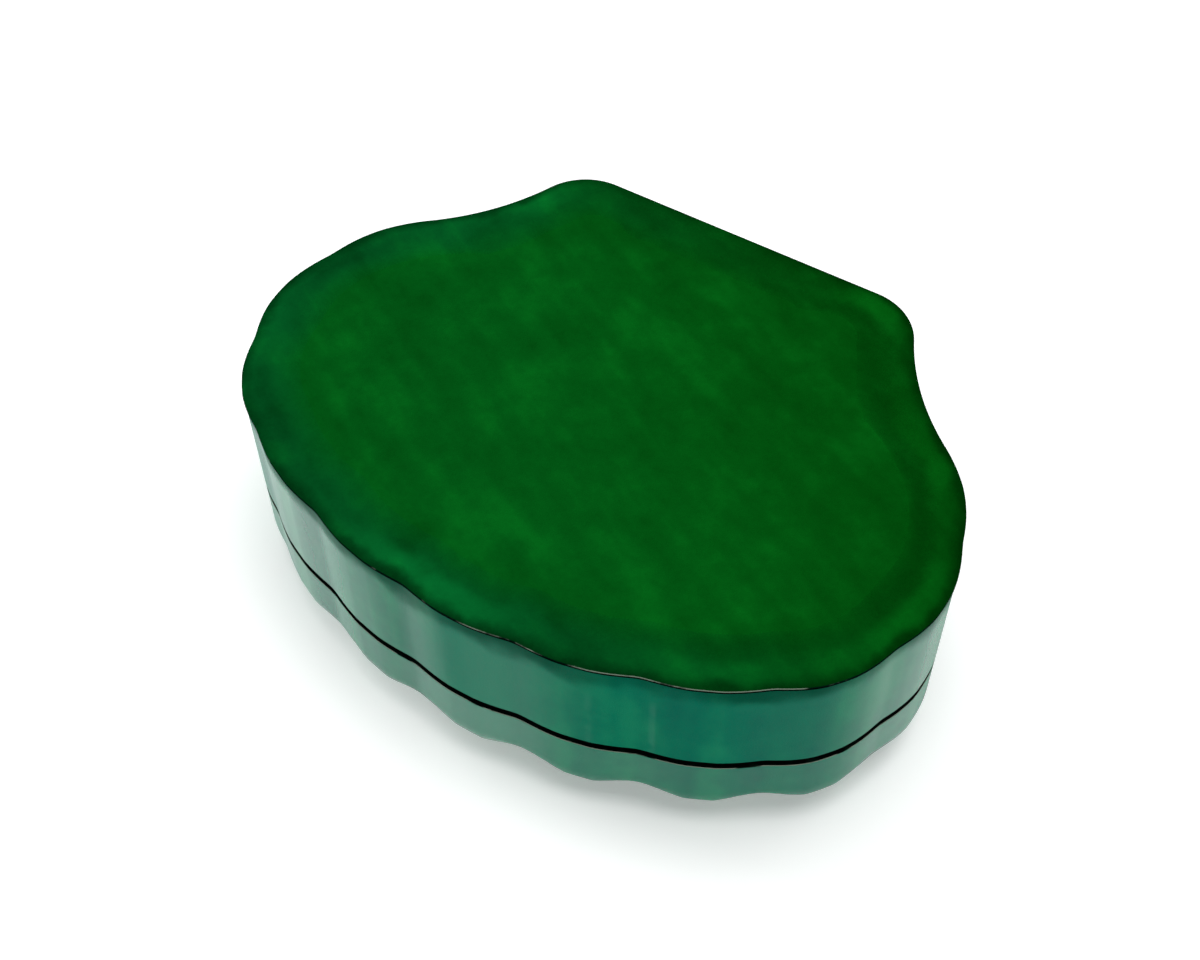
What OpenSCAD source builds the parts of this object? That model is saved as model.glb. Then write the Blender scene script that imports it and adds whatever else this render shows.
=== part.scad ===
// Scallop-shell keepsake box in moulded leather, lying on its fluted side.
// Origin: middle of the footprint, at floor level. +Z is up, +Y points to the straight edge.

/* [Outline] */
// Width across the widest ribs
box_w = 156; // [146:1:168]
// Depth from the straight edge to the front rib
box_d = 115; // [110:1:122]
// Radius of the rounded sides
shoulder_r = 42; // [36:1:46]
// Width across the two ears
ear_w = 92; // [84:1:100]
// Radius of the ear corners
ear_r = 13.5; // [10:0.5:17]
// Radius of the hollow neck under each ear
neck_r = 60; // [45:1:80]

/* [Ribs] */
// Number of ribs
rib_count = 11; // [7:2:13]
// Angle between two ribs, seen from the umbo
rib_pitch = 12.3; // [11:0.1:13]
// How far the umbo, where the ribs meet, lies behind the straight edge
umbo_out = 2; // [1:0.5:5]
// Depth of the valleys between the lobes of the walls
lobe_depth = 0.9; // [0:0.1:1.6]
// Depth of the flutes between the ribs at the front of the dome
flute_depth = 4.6; // [1:0.1:5.5]
// Roundness of the valley floors, where 0 is a sharp crease
valley_round = 0.15; // [0.1:0.05:1]
// Share of the flutes that is worn flat along the crests
crest_flat = 0.08; // [0:0.01:0.2]

/* [Cover] */
// Height of the cover from its rim to the edge of the panel
cover_h = 29; // [22:0.5:40]
// Leather thickness of the cover wall
wall_t = 3; // [2:0.1:4]
// Thickness of the panel at its skived edge
panel_edge_t = 1.1; // [0.8:0.1:1.8]
// Thickness of the panel inside the wall
panel_t = 2.4; // [2:0.1:3.5]
// Height of the pressed bead above the flat field
bead_h = 0.4; // [0:0.05:0.8]
// Distance of the bead's crest from the edge
bead_in = 3.5; // [3:0.1:4.5]
// Depth of the pressed groove below the flat field
groove_h = 0.4; // [0:0.05:0.8]
// Distance of the groove from the edge
groove_in = 7.6; // [7:0.1:8.5]
// Distance from the edge at which the flat field starts
field_in = 12; // [10:0.5:14]
// How far the panel's edge stands proud of the wall
panel_proud = 0.25; // [0:0.05:0.6]

/* [Tray] */
// Depth of the tray from its rim to the ribs that it lies on
tray_h = 25; // [23:0.5:30]
// Height of the upright rim
rim_h = 12; // [10:0.1:12.5]
// Width of the rounded shoulder at the front and the sides
shoulder_w = 20; // [17:1:24]
// Width of the rounded shoulder along the straight edge
shoulder_back_w = 15; // [11:1:20]
// Depth of the ears below the rim
ear_h = 17; // [16.5:0.5:19]
// Width of the slope from the ribs down to each ear
ear_slope_w = 20; // [14:1:24]

/* [Collar] */
// Leather thickness of the collar
collar_t = 1.8; // [1.2:0.1:2.5]
// Height of the collar above the tray's rim
collar_up = 10; // [6:0.5:16]
// Height of the glued part inside the tray
collar_down = 7; // [5:0.5:8.5]

/* [Fits and edges] */
// Clearance between the collar and the cover wall
fit_gap = 0.3; // [0.2:0.05:0.6]
// Gap at the seam between cover and tray
seam_gap = 0.3; // [0.1:0.05:0.6]
// Radius of the burnished outer edges at the seam
edge_r = 0.8; // [0.4:0.1:1.2]
// Clearance between the panel's step and the cover wall
step_gap = 0.1; // [0.05:0.05:0.3]

/* [Hidden] */

leather_green = [0.02, 0.32, 0.12];
leather_dark = [0.04, 0.25, 0.16];
leather_flesh = [0.45, 0.50, 0.36];

// Spacing of the points on long stretches and on the tight ear corners
step_long = 3;
step_tight = 2.2;

back_y = box_d / 2;
umbo = [0, back_y + umbo_out];
// Rings of the walls shrink towards the heart, rings of the dome towards the crown
heart = [0, back_y - 0.34 * box_d];
crown = [0, back_y - 0.17 * box_d];

// Circles of the right half of the outline, each tangent to the next
fan_r = box_d;
fan_c = [0, back_y];
side_x = box_w / 2 - shoulder_r;
side_c = [side_x, back_y - sqrt((fan_r - shoulder_r) ^ 2 - side_x ^ 2)];
ear_c = [ear_w / 2 - ear_r, back_y - ear_r];
neck_c = apex(ear_c, ear_r + neck_r, side_c, shoulder_r + neck_r);

// Levels above the floor
rim_z = tray_h;
seam_z = tray_h + seam_gap;
panel_z = seam_z + cover_h;

// Insets of the walls from the panel's outline
wall_out = panel_proud;
wall_in = wall_out + wall_t;
collar_out = wall_in + fit_gap;
collar_in = collar_out + collar_t;
tray_t = collar_out - wall_out;

// Angles of the last rib and of the line between the ribs and the ear
rib_last = rib_pitch * (rib_count - 1) / 2;
ear_line = rib_last + rib_pitch / 2;
// Distance from the umbo at which the lobes reach their full depth
lobe_reach = 0.4 * fan_r;
// How fast the flutes deepen from the umbo to the front
flute_power = 1.5;
// Turn of the shoulder after which the flutes have their full depth
flute_turn = 36;

// Point at distance ra from a and rb from b, on the outer side
function apex(a, ra, b, rb) =
    let (d = b - a, len = norm(d), u = d / len)
    let (along = (ra ^ 2 - rb ^ 2 + len ^ 2) / (2 * len))
    let (across = sqrt(ra ^ 2 - along ^ 2))
    a + u * along + [-u.y, u.x] * across;

function bearing(a, b) = atan2(b.y - a.y, b.x - a.x);
function ease(t) = let (k = max(0, min(1, t))) k * k * (3 - 2 * k);
function mix(a, b, k) = a + (b - a) * k;

// Samples of an arc as [point, outward normal], without its last point
function arc(c, r, from, to, step, side = 1) =
    let (n = max(2, ceil(PI * r * abs(to - from) / 180 / step)))
    [for (i = [0 : n - 1])
        let (a = mix(from, to, i / n), d = [cos(a), sin(a)])
        [c + r * d, side * d]];

edge_n = ceil(ear_c.x / step_long);
half = concat(
    [for (i = [0 : edge_n - 1]) [[ear_c.x * i / edge_n, back_y], [0, 1]]],
    arc(ear_c, ear_r, 90, bearing(ear_c, neck_c), step_tight),
    arc(neck_c, neck_r, (bearing(neck_c, ear_c) + 360) % 360, (bearing(neck_c, side_c) + 360) % 360,
        step_long, -1),
    arc(side_c, shoulder_r, bearing(side_c, neck_c), bearing(fan_c, side_c), step_long),
    arc(fan_c, fan_r, bearing(fan_c, side_c), -90, step_long),
    [[[0, back_y - fan_r], [0, -1]]]
);
last = len(half) - 1;
// The whole outline, anticlockwise from the middle of the straight edge
outline = concat(
    [for (i = [0 : last]) [[-half[i][0].x, half[i][0].y], [-half[i][1].x, half[i][1].y]]],
    [for (i = [last - 1 : -1 : 1]) half[i]]
);
count = len(outline);
rays = [for (s = outline) (heart - s[0]) / norm(heart - s[0])];
facing = [for (i = [0 : count - 1]) -rays[i] * outline[i][1]];

// Angle of a point about the umbo, 0 towards the front
function swing(p) = atan2(abs(p.x), umbo.y - p.y);

// 0 on a rib's crest, 1 on a valley floor, 0 beyond the last rib
function valley(p) =
    let (a = swing(p), c = cos(180 * a / rib_pitch), e = valley_round)
    let (v = 1 - (sqrt(c * c + e * e) - e) / (sqrt(1 + e * e) - e))
    a > rib_last ? 0 : max(0, v - crest_flat) / (1 - crest_flat);

function lobe(p) = lobe_depth * valley(p) * ease(norm(p - umbo) / lobe_reach);
function flute(p) = flute_depth * valley(p) * (norm(p - umbo) / fan_r) ^ flute_power;

// Point at distance w inside the smooth outline
function inside(i, w) = outline[i][0] + rays[i] * (w / facing[i]);

// Ring of the lobed outline, w further in, at height z
function ring(w, z) = [
    for (i = [0 : count - 1])
        let (p = inside(i, w), q = p + rays[i] * (lobe(p) / facing[i]))
        [q.x, q.y, z]
];

// Height that the dome keeps at a point: all of it on the ribs, less on the ears
function dome_h(p) =
    let (off = norm(p - umbo) * sin(swing(p) - ear_line))
    mix(tray_h, ear_h, ease(0.5 + off / ear_slope_w)) - rim_h;

// Width of the shoulder at an outline point, narrower from the necks to the straight edge
function shoulder(i) =
    let (p = outline[i][0] - heart)
    mix(shoulder_w, shoulder_back_w, ease(atan2(p.y, abs(p.x)) / 45));

// Ring of the rounded shoulder, turned from 0 at the rim to 90 on the dome, t inside its skin
function shoulder_ring(turn, t) = [
    for (i = [0 : count - 1])
        let (w = (shoulder(i) - t) * (1 - cos(turn)))
        let (p = inside(i, wall_out + t + w))
        let (g = mix(lobe(p), flute(p), min(1, turn / flute_turn)))
        let (q = p + rays[i] * (g * cos(turn) / facing[i]))
        [q.x, q.y, rim_z - rim_h - (dome_h(p) - t - g) * sin(turn)]
];

// Ring on the dome, the share k of the way from the shoulder to the crown
function dome_ring(k, t) = [
    for (i = [0 : count - 1])
        let (p = mix(inside(i, wall_out + shoulder(i)), crown, k))
        [p.x, p.y, rim_z - rim_h - (dome_h(p) - t - flute(p))]
];

// Faces between n rings of points, each ring above or inside the one before
function bands(n) = [
    for (j = [0 : n - 2], i = [0 : count - 1])
        let (k = (i + 1) % count, low = j * count, high = low + count)
        each [[low + i, high + k, low + k], [low + i, high + i, high + k]]
];

// Hollow hoop: up the outside, down the inside, and the last ring joins the first
module hoop(rings) {
    total = len(rings) * count;
    polyhedron(
        [for (r = rings) each r],
        [for (f = bands(len(rings) + 1)) [for (v = f) v % total]]
    );
}

// Closed stack of rings between a point under the first and a point over the last
module closed(rings, first, last) {
    high = (len(rings) - 1) * count;
    total = len(rings) * count;
    polyhedron(
        concat([for (r = rings) each r], [first, last]),
        concat(
            bands(len(rings)),
            [for (i = [0 : count - 1]) [i, (i + 1) % count, total]],
            [for (i = [0 : count - 1]) [high + (i + 1) % count, high + i, total + 1]]
        )
    );
}

// Height of the panel's face over the flat field, at distance w from its edge
function relief(w) =
    w < bead_in ? mix(-edge_r / 2, bead_h, sqrt(max(0, 1 - (1 - w / bead_in) ^ 2))) :
    w < groove_in ? mix(bead_h, -groove_h, ease((w - bead_in) / (groove_in - bead_in))) :
    mix(-groove_h, 0, ease((w - groove_in) / (field_in - groove_in)));

module cover_panel() {
    under_z = panel_z - panel_t;
    seat_z = panel_z - panel_edge_t;
    face = [0.3, 1.4, bead_in, mix(bead_in, groove_in, 0.5), groove_in,
        mix(groove_in, field_in, 0.5), field_in];
    color(leather_green)
        closed(
            concat(
                [ring(wall_in + step_gap, under_z), ring(wall_in + step_gap, seat_z)],
                [ring(wall_out, seat_z), ring(0, panel_z - edge_r)],
                [for (w = face) ring(w, panel_z + relief(w))]
            ),
            [heart.x, heart.y, under_z],
            [heart.x, heart.y, panel_z]
        );
}

module cover_wall() {
    wall_z = panel_z - panel_edge_t;
    color(leather_dark)
        hoop([
            ring(wall_out + edge_r, seam_z),
            ring(wall_out + edge_r / 4, seam_z + edge_r / 4),
            ring(wall_out, seam_z + edge_r),
            ring(wall_out, wall_z),
            ring(wall_in, wall_z),
            ring(wall_in, seam_z)
        ]);
}

module collar() {
    color(leather_flesh)
        translate([0, 0, rim_z - collar_down])
            linear_extrude(collar_down + collar_up)
                difference() {
                    polygon([for (p = ring(collar_out, 0)) [p.x, p.y]]);
                    polygon([for (p = ring(collar_in, 0)) [p.x, p.y]]);
                }
}

module scallop_tray() {
    dome_steps = [0.8, 0.6, 0.4, 0.2, 0];
    outer_turns = [72, 54, 36, 18, 0];
    inner_turns = [0, 30, 60, 90];
    inner_steps = [0.3, 0.65];
    color(leather_dark)
        closed(
            concat(
                [for (k = dome_steps) dome_ring(k, 0)],
                [for (turn = outer_turns) shoulder_ring(turn, 0)],
                [ring(wall_out, rim_z - edge_r)],
                [ring(wall_out + edge_r / 4, rim_z - edge_r / 4)],
                [ring(wall_out + edge_r, rim_z), ring(collar_out, rim_z)],
                [for (turn = inner_turns) shoulder_ring(turn, tray_t)],
                [for (k = inner_steps) dome_ring(k, tray_t)]
            ),
            [crown.x, crown.y, 0],
            [crown.x, crown.y, tray_t]
        );
}

cover_panel();
cover_wall();
collar();
scallop_tray();
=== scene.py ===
import math

import bpy
import numpy as np
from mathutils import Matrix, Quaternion, Vector


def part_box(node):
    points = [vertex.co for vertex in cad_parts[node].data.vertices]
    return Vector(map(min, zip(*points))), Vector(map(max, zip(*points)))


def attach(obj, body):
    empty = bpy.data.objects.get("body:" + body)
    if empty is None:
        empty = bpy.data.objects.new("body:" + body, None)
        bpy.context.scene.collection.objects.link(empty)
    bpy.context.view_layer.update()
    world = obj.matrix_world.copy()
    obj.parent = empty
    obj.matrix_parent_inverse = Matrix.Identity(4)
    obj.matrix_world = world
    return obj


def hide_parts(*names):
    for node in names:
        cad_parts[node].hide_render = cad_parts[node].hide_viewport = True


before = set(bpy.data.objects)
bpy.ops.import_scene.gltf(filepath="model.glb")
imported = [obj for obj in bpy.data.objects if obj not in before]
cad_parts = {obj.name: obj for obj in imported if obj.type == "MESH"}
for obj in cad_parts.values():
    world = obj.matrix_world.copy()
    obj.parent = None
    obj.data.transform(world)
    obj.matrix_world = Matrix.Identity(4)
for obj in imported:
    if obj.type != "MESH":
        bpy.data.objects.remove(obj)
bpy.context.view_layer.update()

# Scallop-shell keepsake box in moulded leather. Everything is in metres, in the frame of the
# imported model: +Z is up, +Y points to the straight edge, and the floor is at z = 0.

# Sizes taken from the frame
panel_low, panel_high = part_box("cover_panel")
wall_low, wall_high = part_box("cover_wall")
collar_low, collar_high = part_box("collar")
BOX_W = panel_high.x - panel_low.x
BACK_Y = panel_high.y
BOX_D = panel_high.y - panel_low.y
SEAM_Z = wall_low.z
RIM_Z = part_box("scallop_tray")[1].z

# Circles of the outline
SHOULDER_R = 0.042
EAR_W = 0.092
EAR_R = 0.0135
NECK_R = 0.060

# Ribs, lobes and flutes, which meet at the umbo behind the straight edge
RIB_COUNT = 11
RIB_PITCH = math.radians(12.3)
UMBO_OUT = 0.002
LOBE_DEPTH = 0.0009
FLUTE_DEPTH = 0.0046
VALLEY_ROUND = 0.15
CREST_FLAT = 0.08
FLUTE_POWER = 1.5
FLUTE_TURN = math.radians(36)

# Leather of the cover
WALL_T = 0.003
PANEL_EDGE_T = 0.0011
PANEL_T = 0.0024
PANEL_Z = wall_high.z + PANEL_EDGE_T
PANEL_PROUD = 0.00025
BEAD_H = 0.0004
BEAD_LEAST = 0.4
BEAD_IN = 0.0035
GROOVE_H = 0.0004
GROOVE_LEAST = 0.3
GROOVE_IN = 0.0076
FIELD_IN = 0.012
STEP_GAP = 0.0001

# Inset that all of the flat field is given, past every change of colour at the edge
FAR_IN = 0.05

# Points of the panel's cut edge: two on its softened lower corner, one under the rolled edge
CORNER_IN = 0.00006
CORNER_UP = 0.00012
CORNER_TOP = 0.0003
ROLL_DOWN = 0.0006

# Leather of the tray and its collar
RIM_H = 0.012
SHOULDER_W = 0.020
SHOULDER_BACK_W = 0.015
SHOULDER_BACK_TURN = 45
EAR_H = 0.017
EAR_SLOPE_W = 0.020
FIT_GAP = 0.0003
COLLAR_T = 0.0018
WALL_OUT = PANEL_PROUD
WALL_IN = WALL_OUT + WALL_T
COLLAR_OUT = WALL_IN + FIT_GAP
COLLAR_IN = COLLAR_OUT + COLLAR_T
TRAY_T = COLLAR_OUT - WALL_OUT

# Radii of the burnished edges
EDGE_R = 0.0008
SOFT_EDGE_R = 0.0004

# Width of the ink above the seam
INKED_UP = 0.0004

# Heights over which the scratches on the cover wall begin and end
SCRATCH_LOW = (0.020, 0.024)
SCRATCH_HIGH = (0.04725, 0.04275)

# Spacing of the points round the outline, how many bands of faces each surface has, and the
# turns in degrees at which the panel's rolled edge and the tray's shoulder have rings
STEP = 0.0006
ROLL_TURNS = range(10, 90, 8)
FACE_BANDS = 10
FIELD_BANDS = 24
WALL_BANDS = 24
DOME_BANDS = 14
RIM_BANDS = 10
SHOULDER_STEP = 6

# Edges that turn more than this are shaded sharp
SHARP_TURN = math.radians(50)

# Where the ribs meet, and the middles that the rings of the panel and of the tray shrink to
UMBO = np.array([0.0, BACK_Y + UMBO_OUT])
HEART = np.array([0.0, BACK_Y - 0.34 * BOX_D])
CROWN = np.array([0.0, BACK_Y - 0.17 * BOX_D])

# Angles of the last rib and of the line beyond it where the ears begin
RIB_LAST = RIB_PITCH * (RIB_COUNT - 1) / 2
EAR_LINE = RIB_LAST + RIB_PITCH / 2

# Distance from the umbo at which the lobes have their full depth
LOBE_REACH = 0.4 * BOX_D


def mix(a, b, k):
    return a + (b - a) * k


def ease(t):
    k = np.clip(t, 0, 1)
    return k * k * (3 - 2 * k)


def ramp(value, start, stop):
    """Smooth step from 0 at start to 1 at stop."""
    return ease((value - start) / (stop - start))


def length(p):
    return np.hypot(p[..., 0], p[..., 1])


def bearing(a, b):
    return math.atan2(b[1] - a[1], b[0] - a[0])


def apex(a, ra, b, rb):
    """The point at distance ra from a and rb from b, on the outer side."""
    span = math.dist(a, b)
    u = (b - a) / span
    along = (ra**2 - rb**2 + span**2) / (2 * span)
    across = math.sqrt(ra**2 - along**2)
    return a + u * along + np.array([-u[1], u[0]]) * across


def arc(centre, radius, start, stop, side=1):
    """Points and outward normals along an arc, without its last point."""
    n = max(2, math.ceil(radius * abs(stop - start) / STEP))
    turn = mix(start, stop, np.arange(n) / n)
    ray = np.stack([np.cos(turn), np.sin(turn)], axis=1)
    return np.hstack([centre + radius * ray, side * ray])


def trace_outline():
    """Points and normals of the outline, anticlockwise from the middle of the straight edge."""
    fan_c = np.array([0.0, BACK_Y])
    side_x = BOX_W / 2 - SHOULDER_R
    side_c = np.array([side_x, BACK_Y - math.sqrt((BOX_D - SHOULDER_R) ** 2 - side_x**2)])
    ear_c = np.array([EAR_W / 2 - EAR_R, BACK_Y - EAR_R])
    neck_c = apex(ear_c, EAR_R + NECK_R, side_c, SHOULDER_R + NECK_R)
    full = 2 * math.pi
    n = math.ceil(ear_c[0] / STEP)
    edge = [[ear_c[0] * i / n, BACK_Y, 0, 1] for i in range(n)]
    half = np.vstack([
        edge,
        arc(ear_c, EAR_R, math.pi / 2, bearing(ear_c, neck_c)),
        arc(neck_c, NECK_R, bearing(neck_c, ear_c) % full, bearing(neck_c, side_c) % full, -1),
        arc(side_c, SHOULDER_R, bearing(side_c, neck_c), bearing(fan_c, side_c)),
        arc(fan_c, BOX_D, bearing(fan_c, side_c), -math.pi / 2),
        [[0, BACK_Y - BOX_D, 0, -1]],
    ])
    left = half * np.array([-1, 1, -1, 1])
    whole = np.vstack([left, half[-2:0:-1]])
    return whole[:, :2], whole[:, 2:]


EDGE, NORMAL = trace_outline()
COUNT = len(EDGE)
RAY = (HEART - EDGE) / length(HEART - EDGE)[:, None]
FACING = -(RAY * NORMAL).sum(axis=1)
# Distance run along the outline, as a turn: 0 at the middle of the straight edge, a quarter at
# the left, half at the front
RUN = np.cumsum(length(np.roll(EDGE, -1, axis=0) - EDGE))
TURN = 2 * math.pi * (RUN - RUN[0]) / RUN[-1]


def uneven(lag, *waves):
    """The unevenness of hand work round the outline, from -1 to 1: a sum of a few waves."""
    share = sum(1 / k for k in range(1, len(waves) + 1))
    return sum(np.sin(w * TURN + lag * w) / (i + 1) for i, w in enumerate(waves)) / share


def by_hand(level, amount, lag, *waves, most=1):
    """A level round the outline, made uneven by some amount and kept between 0 and most."""
    return np.clip(level + amount * uneven(lag, *waves), 0, most)


def spots(*places):
    """The strongest of soft spots round the outline, each as (turn, half width, strength), with
    the turn and the half width in degrees."""
    level = np.zeros(COUNT)
    for turn, half, strength in places:
        away = (np.degrees(TURN) - turn + 180) % 360 - 180
        level = np.maximum(level, strength * np.exp(-(away / half) ** 2))
    return level


# How high the bead stands, most at the front, which also sets its painted highlight and shade, and
# how deep the groove is pressed, most at the right, which also sets the painted shade in it
BEAD_RISE_AND_LIGHT = spots((43, 8, 0.8), (64, 16, 0.4), (105, 12, 0.4), (172, 19, 1.0), (226, 15, 0.4),
               (257, 13, 0.5), (293, 15, 0.5), (329, 6, 0.75))
BEAD_RISE_AND_LIGHT = by_hand(BEAD_RISE_AND_LIGHT, 0.12, 1.3, 9, 17, 31)
GROOVE_DEPTH_AND_SHADE = 0.5 + 0.45 * np.cos(TURN - math.radians(285))
GROOVE_DEPTH_AND_SHADE = by_hand(GROOVE_DEPTH_AND_SHADE, 0.15, 0.7, 6, 11, 19)

# How well the walls are polished
WALL_POLISH = spots((144, 28, 0.92), (171, 7, 0.62), (188, 10, 0.3), (258, 14, 0.8), (20, 70, 0.5))
WALL_POLISH = by_hand(WALL_POLISH + 0.06, 0.04, 3.2, 8, 21)
TRAY_POLISH = spots((145, 30, 0.5), (174, 14, 0.52), (186, 8, 0.5), (210, 7, 0.12), (255, 9, 0.5),
                    (20, 70, 0.5))
TRAY_POLISH = by_hand(TRAY_POLISH + 0.44, 0.04, 3.2, 8, 21, most=0.95)

# Where a painted highlight lightens the front of the wall and the tray, where use left scratches,
# and where the cut edges are scuffed to tan, which on the panel's edge is also a painted highlight
# along the front
PAINTED_HIGHLIGHT = spots((186, 13, 0.75))
SCRATCHED = spots((203, 0.6, 0.4), (213.4, 0.45, 0.9))
# The panel's edge is scuffed, and carries a painted highlight, along the front where it faces the
# light
EDGE_SCUFFS_AND_HIGHLIGHT = by_hand(spots((186, 10, 0.5), (207, 7, 0.9), (226, 12, 1.0)), 0.25, 2.1, 37, 61)
TRAY_SCUFFED = by_hand(0.75, 0.5, 4.4, 23, 41)


def swing(p):
    """Angle of points about the umbo, 0 towards the front."""
    return np.arctan2(np.abs(p[:, 0]), UMBO[1] - p[:, 1])


def valley(p):
    """0 on a rib's crest, 1 on a valley floor, 0 beyond the last rib."""
    a = swing(p)
    c = np.cos(math.pi * a / RIB_PITCH)
    e = VALLEY_ROUND
    v = 1 - (np.sqrt(c * c + e * e) - e) / (math.sqrt(1 + e * e) - e)
    return np.where(a > RIB_LAST, 0, np.maximum(0, v - CREST_FLAT) / (1 - CREST_FLAT))


def lobe(p):
    """How far the upright outline is drawn in between the ribs."""
    return LOBE_DEPTH * valley(p) * ease(length(p - UMBO) / LOBE_REACH)


def flute(p):
    """Depth of the flutes, deeper towards the front."""
    return FLUTE_DEPTH * valley(p) * (length(p - UMBO) / BOX_D) ** FLUTE_POWER


def inside(w):
    """The smooth outline, w further in."""
    return EDGE + RAY * (w / FACING)[:, None]


def at_height(p, z):
    return np.column_stack([p, np.broadcast_to(z, COUNT)])


def ring(w, z):
    """The lobed outline, w further in, at height z."""
    p = inside(w)
    return at_height(p + RAY * (lobe(p) / FACING)[:, None], z)


def dome_h(p):
    """Height that the dome keeps: all of it on the ribs, less on the ears."""
    off = length(p - UMBO) * np.sin(swing(p) - EAR_LINE)
    return mix(RIM_Z, EAR_H, ease(0.5 + off / EAR_SLOPE_W)) - RIM_H


def shoulder():
    """Width of the rounded shoulder, narrower from the necks to the straight edge."""
    p = EDGE - HEART
    back = ease(np.degrees(np.arctan2(p[:, 1], np.abs(p[:, 0]))) / SHOULDER_BACK_TURN)
    return mix(SHOULDER_W, SHOULDER_BACK_W, back)


def shoulder_ring(turn, t):
    """Ring of the rounded shoulder, t inside its skin: 0 degrees at the rim, 90 on the dome."""
    turn = math.radians(turn)
    w = (shoulder() - t) * (1 - math.cos(turn))
    p = inside(WALL_OUT + t + w)
    g = mix(lobe(p), flute(p), min(1, turn / FLUTE_TURN))
    q = p + RAY * (g * math.cos(turn) / FACING)[:, None]
    return at_height(q, RIM_Z - RIM_H - (dome_h(p) - t - g) * math.sin(turn))


def dome_ring(k, t):
    """Ring on the dome, the share k of the way from the shoulder to the crown."""
    p = mix(inside(WALL_OUT + shoulder()), CROWN, k)
    return at_height(p, RIM_Z - RIM_H - (dome_h(p) - t - flute(p)))


def relief(w):
    """Height of the panel over its flat field: a rolled edge, a pressed bead and a groove."""
    bead = BEAD_H * mix(BEAD_LEAST, 1, BEAD_RISE_AND_LIGHT)
    groove = GROOVE_H * mix(GROOVE_LEAST, 1, GROOVE_DEPTH_AND_SHADE)
    if w < BEAD_IN:
        return mix(-EDGE_R / 2, bead, math.sqrt(1 - (1 - w / BEAD_IN) ** 2))
    if w < GROOVE_IN:
        return mix(bead, -groove, ramp(w, BEAD_IN, GROOVE_IN))
    return mix(-groove, 0, ramp(w, GROOVE_IN, FIELD_IN))


def rounding(w, z, radius, start, stop, steps):
    """Rings round a burnished edge with its centre at (w, z), from start to stop in degrees.
    0 points out of the wall and 90 points up."""
    angles = [math.radians(mix(start, stop, i / steps)) for i in range(steps + 1)]
    return [ring(w - radius * math.cos(a), z + radius * math.sin(a)) for a in angles]


def leather(name, rings, finishes, bands, body, marks=None, poles=None):
    """Skins rings of points into one piece. Without poles the last ring joins the first.
    bands gives the finish between rings, as (how many bands, its finish).
    marks has values for the finishes by name, one for each ring or for each point of a ring."""
    points = np.vstack(rings)
    i = np.arange(COUNT)
    k = (i + 1) % COUNT
    spans = len(rings) - 1 if poles else len(rings)
    faces = []
    for j in range(spans):
        low, high = j * COUNT, (j + 1) % len(rings) * COUNT
        faces.append(np.stack([low + i, low + k, high + k, high + i], axis=1))
    quads = np.vstack(faces).tolist()
    shades = [finishes.index(coat) for n, coat in bands for _ in range(n * COUNT)]
    if poles:
        top = (len(rings) - 1) * COUNT
        end = len(points)
        points = np.vstack([points, *poles])
        quads += np.stack([k, i, np.full(COUNT, end)], axis=1).tolist()
        quads += np.stack([top + i, top + k, np.full(COUNT, end + 1)], axis=1).tolist()
        shades += [shades[0]] * COUNT + [shades[-1]] * COUNT
    mesh = bpy.data.meshes.new(name)
    mesh.from_pydata(points.tolist(), [], quads)
    for label, values in (marks or {}).items():
        spread = np.broadcast_to(values, (len(rings), COUNT))
        if poles:
            spread = np.append(spread, [spread[0].mean(), spread[-1].mean()])
        spread = spread.ravel().astype(np.float32)
        mesh.attributes.new(label, "FLOAT", "POINT").data.foreach_set("value", spread)
    for coat in finishes:
        mesh.materials.append(coat)
    mesh.polygons.foreach_set("material_index", shades)
    mesh.polygons.foreach_set("use_smooth", [True] * len(quads))
    mesh.set_sharp_from_angle(angle=SHARP_TURN)
    mesh.update()
    piece = bpy.data.objects.new(name, mesh)
    bpy.context.scene.collection.objects.link(piece)
    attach(piece, body)
    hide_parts(name)
    piece.name = name + "_leather"


# Shader nodes

def put(tree, kind, inputs=None, **settings):
    """Adds a node. inputs holds values or sockets by the socket's name or place."""
    made = tree.nodes.new(kind)
    for name, value in settings.items():
        setattr(made, name, value)
    for name, value in (inputs or {}).items():
        if isinstance(value, bpy.types.NodeSocket):
            tree.links.new(value, made.inputs[name])
        else:
            made.inputs[name].default_value = value
    return made


def maths(tree, operation, a, b):
    return put(tree, "ShaderNodeMath", {0: a, 1: b}, operation=operation).outputs[0]


def times(tree, a, *factors):
    """Product of values or sockets."""
    for factor in factors:
        a = maths(tree, "MULTIPLY", a, factor)
    return a


def plus(tree, a, *terms):
    """Sum of values or sockets."""
    for term in terms:
        a = maths(tree, "ADD", a, term)
    return a


def minus(tree, a, b):
    return maths(tree, "SUBTRACT", a, b)


def blend(tree, factor, a, b, how="MIX"):
    """Mix of two colours."""
    sockets = {0: factor, 6: a, 7: b}
    return put(tree, "ShaderNodeMix", sockets, data_type="RGBA", blend_type=how).outputs[2]


def fade(tree, value, start, stop, low=0.0, high=1.0):
    """Smooth step of a value from low at start to high at stop."""
    limits = {"Value": value, "From Min": start, "From Max": stop, "To Min": low, "To Max": high}
    made = put(tree, "ShaderNodeMapRange", limits, interpolation_type="SMOOTHSTEP")
    return made.outputs["Result"]


def cloud(tree, place, scale, detail=2.0, roughness=0.5, warp=0.0):
    """Noise value, about 0.5 on average. scale is in spots to a metre."""
    sockets = {"Vector": place, "Scale": scale, "Detail": detail, "Roughness": roughness,
               "Distortion": warp}
    return put(tree, "ShaderNodeTexNoise", sockets).outputs["Fac"]


def sway(tree, place, scale, detail=2.0, size=1.0):
    """Noise value about 0, of some size."""
    return times(tree, minus(tree, cloud(tree, place, scale, detail), 0.5), size)


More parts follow.
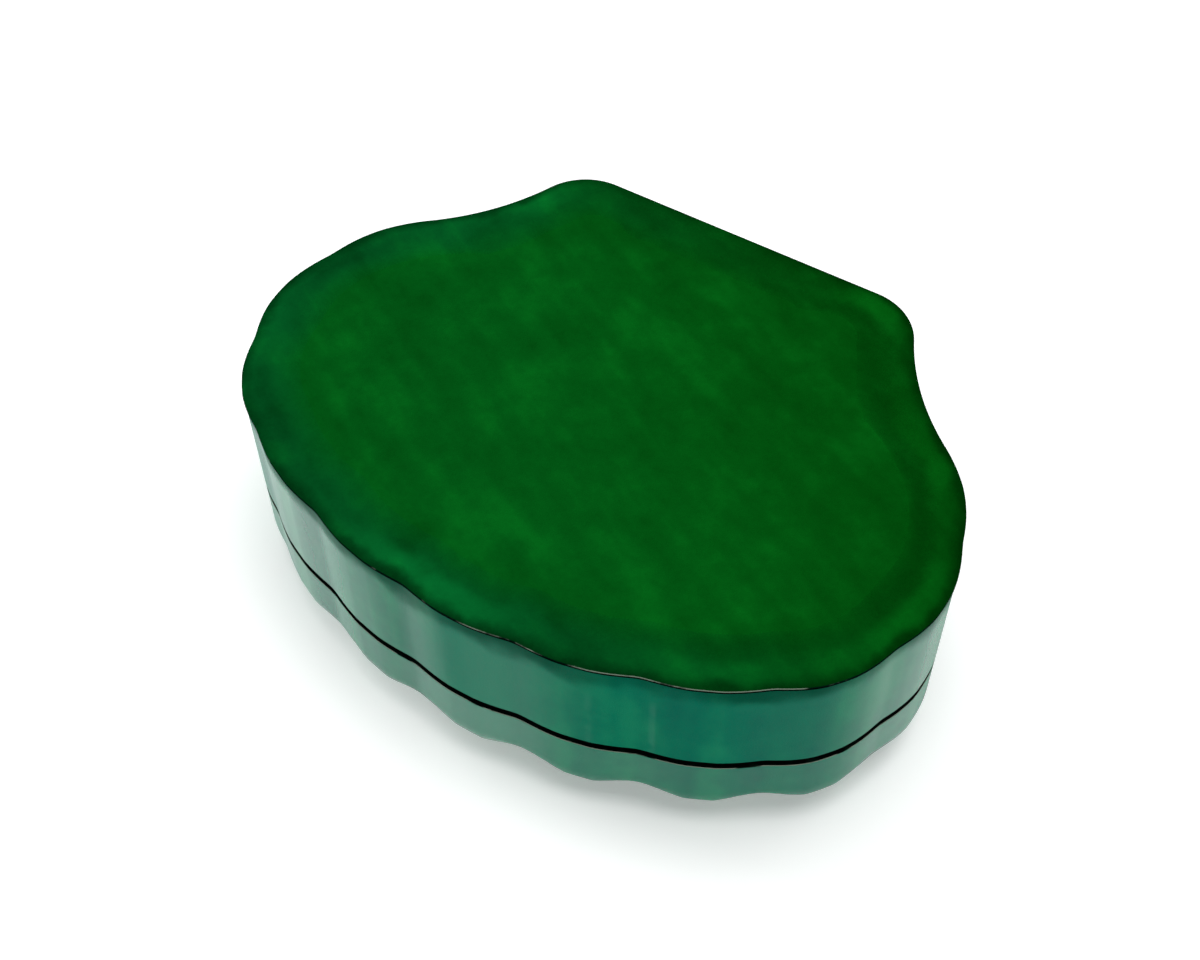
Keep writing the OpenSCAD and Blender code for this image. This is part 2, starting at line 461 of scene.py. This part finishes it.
def stretched(tree, place, turn, scale):
    """Coordinates turned about Z and then scaled, for strokes."""
    sockets = {"Vector": place, "Angle": turn}
    turned = put(tree, "ShaderNodeVectorRotate", sockets, rotation_type="Z_AXIS").outputs[0]
    scaled = put(tree, "ShaderNodeVectorMath", {0: turned, 1: scale}, operation="MULTIPLY")
    return scaled.outputs[0]


def group(name, inputs, outputs):
    """An empty node group with named sockets, as (tree, its inputs, its outputs)."""
    kinds = {"value": "NodeSocketFloat", "colour": "NodeSocketColor", "place": "NodeSocketVector"}
    tree = bpy.data.node_groups.new(name, "ShaderNodeTree")
    for way, sockets in (("INPUT", inputs), ("OUTPUT", outputs)):
        for socket, kind in sockets.items():
            tree.interface.new_socket(socket, in_out=way, socket_type=kinds[kind])
    given = tree.nodes.new("NodeGroupInput").outputs
    result = tree.nodes.new("NodeGroupOutput").inputs
    return tree, given, result


def use(tree, shared, inputs):
    """Places a shared effect with its own values."""
    return put(tree, "ShaderNodeGroup", inputs, node_tree=shared).outputs


def hand_dye():
    """Dye rubbed in by hand: wide clouds, blotches a few millimetres across and dauber strokes."""
    sockets = {"Place": "place", "Strokes": "place", "Full": "colour", "Thin": "colour",
               "Deep": "colour", "Clouds": "value", "Blotches": "value", "Daubs": "value"}
    tree, given, result = group("hand_dye", sockets, {"Colour": "colour", "Unevenness": "value"})
    clouds = sway(tree, given["Place"], 75, size=given["Clouds"])
    blotches = sway(tree, given["Place"], 240, size=given["Blotches"])
    daubs = sway(tree, given["Strokes"], 110, size=given["Daubs"])
    total = plus(tree, clouds, blotches, daubs)
    thin = fade(tree, total, -0.05, 0.35)
    deep = fade(tree, total, 0.05, -0.45)
    colour = blend(tree, thin, given["Full"], given["Thin"])
    tree.links.new(blend(tree, deep, colour, given["Deep"]), result["Colour"])
    tree.links.new(total, result["Unevenness"])
    return tree


def calf_grain():
    """Fine grain of smooth calf: small creased cells, hair pores and a slight waviness."""
    sockets = {"Place": "place", "Waves": "value"}
    tree, given, result = group("calf_grain", sockets, {"Height": "value"})
    place = given["Place"]
    cells = put(tree, "ShaderNodeTexVoronoi", {"Vector": place, "Scale": 1500},
                feature="DISTANCE_TO_EDGE")
    creases = fade(tree, cells.outputs["Distance"], 0.0, 0.22)
    dots = put(tree, "ShaderNodeTexVoronoi", {"Vector": place, "Scale": 620})
    pores = fade(tree, dots.outputs["Distance"], 0.22, 0.1)
    fine = cloud(tree, place, 2600)
    waves = times(tree, cloud(tree, place, 90), given["Waves"])
    height = plus(tree, times(tree, creases, 0.35), times(tree, fine, 0.3))
    height = minus(tree, height, times(tree, pores, 0.4))
    tree.links.new(plus(tree, height, waves), result["Height"])
    return tree


HAND_DYE = hand_dye()
CALF_GRAIN = calf_grain()

# Tones of the dyes, in linear colour
PANEL_GREEN = {
    "Full": (0.0008, 0.079, 0.0042, 1),
    "Thin": (0.0014, 0.112, 0.0068, 1),
    "Deep": (0.0006, 0.054, 0.0026, 1),
}
PANEL_BLUE = {
    "Full": (0.0010, 0.078, 0.0142, 1),
    "Thin": (0.0014, 0.111, 0.0166, 1),
    "Deep": (0.0006, 0.051, 0.0083, 1),
}
WALL_TONES = {
    "Full": (0.0008, 0.190, 0.112, 1),
    "Thin": (0.0080, 0.250, 0.130, 1),
    "Deep": (0.0004, 0.150, 0.100, 1),
}
FLESH_TONES = {
    "Full": (0.050, 0.210, 0.095, 1),
    "Thin": (0.090, 0.280, 0.140, 1),
    "Deep": (0.026, 0.140, 0.060, 1),
}
COLLAR_TONES = {
    "Full": (0.006, 0.085, 0.034, 1),
    "Thin": (0.014, 0.125, 0.055, 1),
    "Deep": (0.003, 0.055, 0.022, 1),
}
WALL_HIGHLIGHT = (0.0030, 0.250, 0.140, 1)
WALL_PAINTED_SHADE = (0.0006, 0.066, 0.034, 1)
WALL_SCRATCH = (0.12, 0.36, 0.27, 1)
INK = (0.0006, 0.0012, 0.0010, 1)
WORN_INK = (0.002, 0.010, 0.006, 1)
GREEN_INK = (0.0005, 0.012, 0.006, 1)
TAN = (0.19, 0.25, 0.19, 1)

# Turn of the dauber's strokes on flat leather
STROKE_TURN = math.radians(30)

# The way to the panel's bluer side, and the distances along it where blue comes in and where
# painted shade darkens the right and back
FRONT_LEFT = (-0.75, -0.65, 0)
BLUE_ACROSS = (-0.06, 0.035)
SHADE_ACROSS = (-0.06, 0.0)

# Insets from the panel's edge between which its colours come in
BLUE_FADE = (0.015, 0.004)
EDGE_FADE = (0.0032, 0.0)
BEAD_FADES = ((0.0008, BEAD_IN - 0.0008), (GROOVE_IN, BEAD_IN + 0.001))
GROOVE_FADES = ((BEAD_IN + 0.0005, GROOVE_IN), (FIELD_IN + 0.002, GROOVE_IN + 0.0015))

# Distances down from the wall's top between which the painted shade under the panel comes in
PAINTED_SHADE_FADE = (0.0062, 0.0012)


def finish(name, sheen=0.0):
    """A new material, as (material, its tree, its Principled BSDF, object coordinates)."""
    material = bpy.data.materials.new(name)
    material.use_nodes = True
    tree = material.node_tree
    skin = tree.nodes["Principled BSDF"]
    skin.inputs["Specular IOR Level"].default_value = sheen
    place = put(tree, "ShaderNodeTexCoord").outputs["Object"]
    return material, tree, skin, place


def mark(tree, name):
    return put(tree, "ShaderNodeAttribute", attribute_name=name).outputs["Fac"]


def dyed(tree, place, strokes, tones, clouds, blotches, daubs):
    """Leather dyed by hand, as the outputs Colour and Unevenness."""
    inputs = {"Place": place, "Strokes": strokes, **tones, "Clouds": clouds, "Blotches": blotches,
              "Daubs": daubs}
    return use(tree, HAND_DYE, inputs)


def roughen(tree, skin, value, start, stop, smooth, rough):
    """Roughness from smooth, where the value is at start, to rough, where it is at stop."""
    tree.links.new(fade(tree, value, start, stop, smooth, rough), skin.inputs["Roughness"])


def raise_grain(tree, skin, height, depth):
    bump = put(tree, "ShaderNodeBump", {"Height": height, "Strength": 1.0, "Distance": depth})
    tree.links.new(bump.outputs["Normal"], skin.inputs["Normal"])


def raise_calf(tree, skin, place, waves, depth):
    texture = use(tree, CALF_GRAIN, {"Place": place, "Waves": waves})
    raise_grain(tree, skin, texture["Height"], depth)


def panel_finish():
    """Deep green leather, bluer to the front left, darker at the rolled edge, with painted shade in
    the groove and towards the right, and painted highlight and shade along the bead.
    """
    material, tree, skin, place = finish("panel_leather")
    across = put(tree, "ShaderNodeVectorMath", {0: place, 1: FRONT_LEFT}, operation="DOT_PRODUCT")
    across = across.outputs["Value"]
    from_edge = plus(tree, mark(tree, "inset"), sway(tree, place, 110, detail=3.0, size=0.005))
    blue_share = plus(tree, times(tree, fade(tree, from_edge, *BLUE_FADE), 0.75), 0.25)
    blue = times(tree, fade(tree, across, *BLUE_ACROSS), blue_share)
    tones = {tone: blend(tree, blue, PANEL_GREEN[tone], PANEL_BLUE[tone]) for tone in PANEL_GREEN}
    strokes = stretched(tree, place, STROKE_TURN, (0.3, 1.5, 1.0))
    dye = dyed(tree, place, strokes, tones, clouds=0.8, blotches=0.4, daubs=0.65)
    # Painted shade in the groove, and a painted highlight and shade along the bead
    groove = times(tree, *(fade(tree, from_edge, *limits) for limits in GROOVE_FADES))
    bead = times(tree, *(fade(tree, from_edge, *limits) for limits in BEAD_FADES))
    edge = fade(tree, from_edge, *EDGE_FADE)
    pressed = times(tree, groove, mark(tree, "pressed"))
    darker = plus(tree, times(tree, edge, 0.6), times(tree, pressed, 0.30))
    bead_light_and_shade = times(tree, minus(tree, mark(tree, "bead_light"), 0.35), bead)
    speckle = sway(tree, place, 1100, size=0.2)
    shade = plus(tree, minus(tree, 1.0, darker), times(tree, bead_light_and_shade, 0.8), speckle)
    # Painted shade, darker towards the right and back
    shade = times(tree, shade, fade(tree, across, *SHADE_ACROSS, low=0.82))
    tree.links.new(blend(tree, 1.0, dye["Colour"], shade, "MULTIPLY"), skin.inputs["Base Color"])
    roughen(tree, skin, dye["Unevenness"], -0.4, 0.4, smooth=0.26, rough=0.34)
    raise_calf(tree, skin, place, waves=1.0, depth=0.00003)
    return material


def wall_finish(name):
    """Polished blue-green leather of the upright wall and the tray, streaked up and down, with a
    painted highlight at the front and painted shade under the panel's edge.
    """
    material, tree, skin, place = finish(name)
    strokes = stretched(tree, place, 0.0, (1.0, 1.0, 0.07))
    dye = dyed(tree, place, strokes, WALL_TONES, clouds=0.6, blotches=0.35, daubs=1.6)
    # Painted highlight: the dye made paler at the front of the wall and the tray
    painted_highlight = blend(tree, mark(tree, "painted_highlight"), dye["Colour"], WALL_HIGHLIGHT)
    # Painted shade on the wall under the panel's edge, patchy, which also dulls the coat there
    down = plus(tree, mark(tree, "down"), sway(tree, place, 95, size=0.009))
    patchy = fade(tree, cloud(tree, place, 60), 0.25, 0.65, low=0.5)
    painted_shade = times(tree, fade(tree, down, *PAINTED_SHADE_FADE), patchy)
    colour = blend(tree, times(tree, painted_shade, 0.8), painted_highlight, WALL_PAINTED_SHADE)
    broken = fade(tree, cloud(tree, place, 160, 1.0), 0.3, 0.5)
    scratch = times(tree, mark(tree, "scratched"), broken)
    colour = blend(tree, times(tree, scratch, 0.25), colour, WALL_SCRATCH)
    tree.links.new(colour, skin.inputs["Base Color"])
    roughen(tree, skin, dye["Unevenness"], -0.4, 0.4, smooth=0.20, rough=0.30)
    duller = minus(tree, 1.0, times(tree, painted_shade, 0.75))
    tree.links.new(times(tree, mark(tree, "polished"), duller), skin.inputs["Coat Weight"])
    skin.inputs["Coat Roughness"].default_value = 0.22
    raise_calf(tree, skin, place, waves=1.4, depth=0.00004)
    return material


def ink_finish(name, sheen):
    """Cut edges, inked black and burnished."""
    material, tree, skin, place = finish(name, sheen)
    patches = cloud(tree, place, 400, 3.0)
    ink = blend(tree, fade(tree, patches, 0.5, 0.8), INK, WORN_INK)
    tree.links.new(ink, skin.inputs["Base Color"])
    roughen(tree, skin, patches, 0.3, 0.7, smooth=0.32, rough=0.5)
    raise_grain(tree, skin, cloud(tree, place, 1800, 3.0), depth=0.00005)
    return material


def scuffed_and_highlit_finish():
    """The sharp line of a cut edge: dark, and pale tan where it is scuffed, which at the front of
    the panel's edge is also a painted highlight.
    """
    material, tree, skin, place = finish("scuffed_and_highlit_edge")
    patches = sway(tree, place, 500, 3.0)
    worn_and_highlit = fade(tree, plus(tree, mark(tree, "scuffs_and_highlight"), patches), 0.25, 0.6)
    tree.links.new(blend(tree, worn_and_highlit, GREEN_INK, TAN), skin.inputs["Base Color"])
    roughen(tree, skin, patches, -0.2, 0.2, smooth=0.35, rough=0.5)
    raise_grain(tree, skin, cloud(tree, place, 1500, 3.0), depth=0.00005)
    return material


def flesh_finish():
    """Flesh side of the leather inside the box, matt and fibrous, dyed green."""
    material, tree, skin, place = finish("flesh_side", sheen=0.2)
    strokes = stretched(tree, place, STROKE_TURN, (0.7, 2.2, 1.0))
    dye = dyed(tree, place, strokes, FLESH_TONES, clouds=0.9, blotches=0.6, daubs=0.7)
    tree.links.new(dye["Colour"], skin.inputs["Base Color"])
    fibres = cloud(tree, strokes, 2200, detail=4.0, roughness=0.7, warp=1.0)
    roughen(tree, skin, fibres, 0.3, 0.7, smooth=0.78, rough=0.95)
    raise_grain(tree, skin, fibres, depth=0.00022)
    return material


def collar_finish():
    """Smooth dyed strip that guides the cover."""
    material, tree, skin, place = finish("collar_leather", sheen=0.25)
    strokes = stretched(tree, place, 0.0, (1.0, 1.0, 0.3))
    dye = dyed(tree, place, strokes, COLLAR_TONES, clouds=1.0, blotches=0.7, daubs=0.9)
    tree.links.new(dye["Colour"], skin.inputs["Base Color"])
    roughen(tree, skin, dye["Unevenness"], -0.4, 0.4, smooth=0.42, rough=0.55)
    raise_calf(tree, skin, place, waves=1.0, depth=0.00005)
    return material


PANEL = panel_finish()
WALL = wall_finish("wall_leather")
TRAY = wall_finish("tray_leather")
# The ink is dull beside the seam, and has a sheen on the flat rims that the seam hides
INKED = ink_finish("inked_edge", sheen=0.0)
INKED_RIM = ink_finish("inked_rim", sheen=0.3)
SCUFFED_AND_HIGHLIT_EDGE = scuffed_and_highlit_finish()
FLESH = flesh_finish()
COLLAR = collar_finish()


# Pieces

def cover_panel():
    """The flat cover leather: skived edge, a rolled bead, a pressed groove and a soft field."""
    under_z = PANEL_Z - PANEL_T
    seat_z = PANEL_Z - PANEL_EDGE_T
    face = [BEAD_IN * (1 - math.cos(math.radians(a))) for a in ROLL_TURNS]
    face += [mix(BEAD_IN, GROOVE_IN, i / FACE_BANDS) for i in range(FACE_BANDS)]
    face += [mix(GROOVE_IN, FIELD_IN, i / FACE_BANDS) for i in range(FACE_BANDS + 1)]
    back = [ring(WALL_IN + STEP_GAP, under_z), ring(WALL_IN + STEP_GAP, seat_z),
            ring(WALL_OUT, seat_z)]
    edge = [ring(CORNER_IN, seat_z + CORNER_UP), ring(0, seat_z + CORNER_TOP),
            ring(0, PANEL_Z - ROLL_DOWN)]
    rise = [ring(w, PANEL_Z + relief(w)) for w in face]
    rim = inside(FIELD_IN)
    field = [at_height(mix(rim, HEART, i / FIELD_BANDS), PANEL_Z) for i in range(1, FIELD_BANDS)]
    rings = back + edge + rise + field
    insets = [0] * (len(back) + len(edge)) + face + [FAR_IN] * len(field)
    marks = {"inset": np.array(insets)[:, None], "bead_light": BEAD_RISE_AND_LIGHT, "pressed": GROOVE_DEPTH_AND_SHADE,
             "scuffs_and_highlight": EDGE_SCUFFS_AND_HIGHLIGHT}
    poles = ([*HEART, under_z], [*HEART, PANEL_Z])
    bands = [(len(back) - 1, FLESH), (len(edge), INKED), (1, SCUFFED_AND_HIGHLIT_EDGE),
             (len(rise) + len(field) - 1, PANEL)]
    finishes = [PANEL, INKED, FLESH, SCUFFED_AND_HIGHLIT_EDGE]
    leather("cover_panel", rings, finishes, bands, "cover", marks, poles)


def cover_wall():
    """The upright wall of the cover, with its inked edge at the seam."""
    top_z = wall_high.z
    seam = rounding(WALL_OUT + EDGE_R, SEAM_Z + EDGE_R, EDGE_R, -90, 0, steps=6)
    low_z = SEAM_Z + EDGE_R + INKED_UP
    heights = [mix(low_z, top_z - SOFT_EDGE_R, i / WALL_BANDS) for i in range(WALL_BANDS)]
    side = [ring(WALL_OUT, z) for z in heights]
    top = rounding(WALL_OUT + SOFT_EDGE_R, top_z - SOFT_EDGE_R, SOFT_EDGE_R, 0, 90, steps=4)
    inner = [ring(WALL_IN, z) for z in (top_z, mix(top_z, SEAM_Z, 0.5), SEAM_Z + SOFT_EDGE_R)]
    inner.append(ring(WALL_IN - SOFT_EDGE_R / 2, SEAM_Z))
    rings = seam + side + top + inner
    from_top = [top_z - z for z in heights]
    down = [BOX_D] * len(seam) + from_top + [0] * len(top) + [BOX_D] * len(inner)
    reach = [ramp(z, *SCRATCH_LOW) * ramp(z, *SCRATCH_HIGH) for z in heights]
    reach = [0] * len(seam) + reach + [0] * (len(top) + len(inner))
    marks = {"down": np.array(down)[:, None], "polished": WALL_POLISH, "painted_highlight": PAINTED_HIGHLIGHT,
             "scratched": np.outer(reach, SCRATCHED)}
    bands = [(len(seam), INKED), (len(side), WALL), (len(top), INKED), (len(inner) - 1, FLESH),
             (1, INKED)]
    leather("cover_wall", rings, [WALL, INKED, FLESH], bands, "cover", marks)


def collar():
    """The strip glued inside the tray, over which the cover slides."""
    low, high = collar_low.z, collar_high.z
    middle = mix(low, high, 0.5)
    half = COLLAR_T / 2
    outer = [ring(COLLAR_OUT, low), ring(COLLAR_OUT, middle), ring(COLLAR_OUT, high - half)]
    top = rounding(COLLAR_OUT + half, high - half, half, 0, 180, steps=8)[1:-1]
    inner = [ring(COLLAR_IN, high - half), ring(COLLAR_IN, middle), ring(COLLAR_IN, low)]
    rings = outer + top + inner
    bands = [(len(outer) - 1, COLLAR), (len(top) + 1, INKED_RIM), (len(inner) - 1, FLESH),
             (1, INKED_RIM)]
    leather("collar", rings, [COLLAR, INKED_RIM, FLESH], bands, "tray")


def scallop_tray():
    """The fluted tray: flat crown and ribs, a rounded shoulder, an upright rim, an inner skin."""
    under = [dome_ring(1 - i / DOME_BANDS, 0) for i in range(1, DOME_BANDS + 1)]
    outer = [shoulder_ring(a, 0) for a in range(90 - SHOULDER_STEP, -1, -SHOULDER_STEP)]
    top_z = RIM_Z - EDGE_R
    side = [ring(WALL_OUT, mix(RIM_Z - RIM_H, top_z, i / RIM_BANDS)) for i in range(1, RIM_BANDS)]
    rim = rounding(WALL_OUT + EDGE_R, top_z, EDGE_R, 0, 90, steps=10)
    inner_rim = [ring(COLLAR_OUT, RIM_Z)]
    inner = [shoulder_ring(a, TRAY_T) for a in range(0, 91, SHOULDER_STEP)]
    floor = [dome_ring(i / DOME_BANDS, TRAY_T) for i in range(1, DOME_BANDS)]
    rings = under + outer + side + rim + inner_rim + inner + floor
    poles = ([*CROWN, 0], [*CROWN, TRAY_T])
    outside = len(under) + len(outer) + len(side)
    bands = [(outside, TRAY), (2, SCUFFED_AND_HIGHLIT_EDGE), (len(rim) - 3, INKED), (1, INKED_RIM),
             (len(inner) + len(floor), FLESH)]
    marks = {"down": BOX_D, "polished": TRAY_POLISH, "painted_highlight": PAINTED_HIGHLIGHT, "scuffs_and_highlight": TRAY_SCUFFED}
    finishes = [TRAY, INKED, FLESH, SCUFFED_AND_HIGHLIT_EDGE, INKED_RIM]
    leather("scallop_tray", rings, finishes, bands, "tray", marks, poles)


cover_panel()
cover_wall()
collar()
scallop_tray()


# Studio: floor, surroundings, lamps and camera

FLOOR_HALF = 4.0
FLOOR_DROP = 0.0001
FLOOR_GREY = (0.9, 0.9, 0.9, 1)

# Light that the floor adds by the box, and the distances between which it grows to plain white
FLOOR_LIFT = 0.30
SHADOW_REACH = 0.22
FADE_REACH = 0.80

# Upward share of the directions where white gives way to the ceiling, and the ceiling's light
HORIZON_TOP = 0.10
CEILING_START = 0.35
CEILING = 0.10

# Each lamp's place, size and power in watts
LAMP_AIM = Vector((0, 0, 0.02))
LAMPS = {
    "overhead": ((0.16, 0.08, 1.28), 0.9, 14.0),
    "left": ((-1.1, 0.0, 0.28), 0.5, 10.5),
    "right": ((1.1, 0.2, 0.28), 0.5, 1.0),
}

# The camera was fitted to the outlines in the photograph
CAMERA_AIM = Vector((0.00744, -0.01587, PANEL_Z))
CAMERA_AROUND = math.radians(31.53)
CAMERA_UP = math.radians(52.87)
CAMERA_AWAY = 0.354327
CAMERA_ROLL = math.radians(-0.58)
LENS = 54
SENSOR_W = 36


def studio_floor():
    """White paper that keeps the shadow, brighter where it is seen or mirrored, white far off."""
    material, tree, skin, place = finish("studio_floor")
    tree.nodes.remove(skin)
    plain = put(tree, "ShaderNodeBsdfDiffuse", {"Color": FLOOR_GREY}).outputs[0]
    away = put(tree, "ShaderNodeVectorMath", {0: place}, operation="LENGTH").outputs["Value"]
    lift = fade(tree, away, SHADOW_REACH, FADE_REACH, FLOOR_LIFT, 1.0)
    white = put(tree, "ShaderNodeEmission", {"Color": (1, 1, 1, 1), "Strength": lift}).outputs[0]
    lifted = put(tree, "ShaderNodeAddShader", {0: plain, 1: white}).outputs[0]
    rays = put(tree, "ShaderNodeLightPath").outputs
    mirrored = maths(tree, "MAXIMUM", rays["Is Glossy Ray"], rays["Is Transmission Ray"])
    seen = maths(tree, "MAXIMUM", rays["Is Camera Ray"], mirrored)
    both = put(tree, "ShaderNodeMixShader", {0: seen, 1: plain, 2: lifted}).outputs[0]
    tree.links.new(both, tree.nodes["Material Output"].inputs["Surface"])
    half = FLOOR_HALF
    mesh = bpy.data.meshes.new("studio_floor")
    corners = [(-half, -half, 0), (half, -half, 0), (half, half, 0), (-half, half, 0)]
    mesh.from_pydata(corners, [], [(0, 1, 2, 3)])
    mesh.materials.append(material)
    floor = bpy.data.objects.new("studio_floor", mesh)
    floor.location.z = -FLOOR_DROP
    bpy.context.scene.collection.objects.link(floor)


def surroundings():
    """White walls at the horizon under a dim ceiling."""
    world = bpy.data.worlds.new("studio")
    world.use_nodes = True
    bpy.context.scene.world = world
    tree = world.node_tree
    way = put(tree, "ShaderNodeTexCoord").outputs["Generated"]
    height = put(tree, "ShaderNodeSeparateXYZ", {0: way}).outputs["Z"]
    light = fade(tree, height, HORIZON_TOP, CEILING_START, 1.0, CEILING)
    tree.links.new(light, tree.nodes["Background"].inputs["Color"])


def lamp(name, place, size, power):
    """A square softbox that faces the box."""
    light = bpy.data.lights.new(name, "AREA")
    light.size = size
    light.energy = power
    made = bpy.data.objects.new(name, light)
    made.location = place
    made.rotation_euler = (LAMP_AIM - Vector(place)).to_track_quat("-Z", "Y").to_euler()
    bpy.context.scene.collection.objects.link(made)


def camera():
    """The photograph's view: 53 degrees down, from the front and a little to the right."""
    level = math.cos(CAMERA_UP)
    back = Vector((math.sin(CAMERA_AROUND) * level, -math.cos(CAMERA_AROUND) * level,
                   math.sin(CAMERA_UP)))
    view = bpy.data.cameras.new("camera")
    view.lens = LENS
    view.sensor_width = SENSOR_W
    made = bpy.data.objects.new("camera", view)
    made.location = CAMERA_AIM + back * CAMERA_AWAY
    upright = (-back).to_track_quat("-Z", "Y")
    made.rotation_euler = (upright @ Quaternion((0, 0, 1), CAMERA_ROLL)).to_euler()
    bpy.context.scene.collection.objects.link(made)
    bpy.context.scene.camera = made


studio_floor()
surroundings()
for lamp_name, (lamp_place, lamp_size, lamp_power) in LAMPS.items():
    lamp(lamp_name, lamp_place, lamp_size, lamp_power)
camera()
bpy.context.scene.view_settings.view_transform = "Standard"
